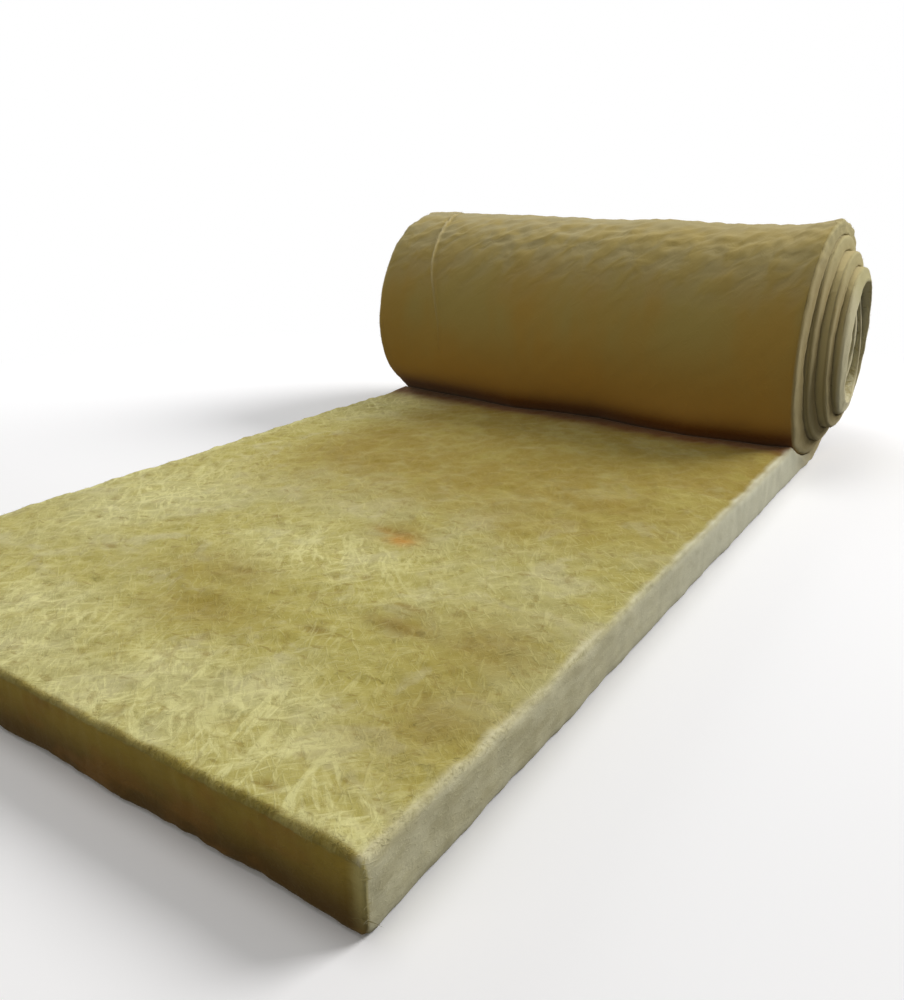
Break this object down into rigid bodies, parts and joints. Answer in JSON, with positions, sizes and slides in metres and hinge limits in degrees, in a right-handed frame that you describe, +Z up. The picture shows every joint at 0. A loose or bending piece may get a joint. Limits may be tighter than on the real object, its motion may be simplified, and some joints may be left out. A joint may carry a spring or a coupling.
{
  "type": "insulation roll",
  "caption": "Glass-wool insulation blanket, partly unrolled: a flat run on the floor that winds up into a loose roll, whose inner turns have slid out of its right end, with a small open eye.",
  "frame": {"origin": "on the floor, under the middle of the whole piece", "axes": "+X along the roll's axis, +Y from the cut near end towards the roll, +Z up"},
  "size_m": [1.268, 2.176, 0.6129],
  "materials": {
    "glass_wool": "bare glass wool, pale yellow and ochre, fibrous and fully matt"
  },
  "bodies": {
    "root": {"glass_wool_blanket": "glass_wool"}
  },
  "joints": []
}
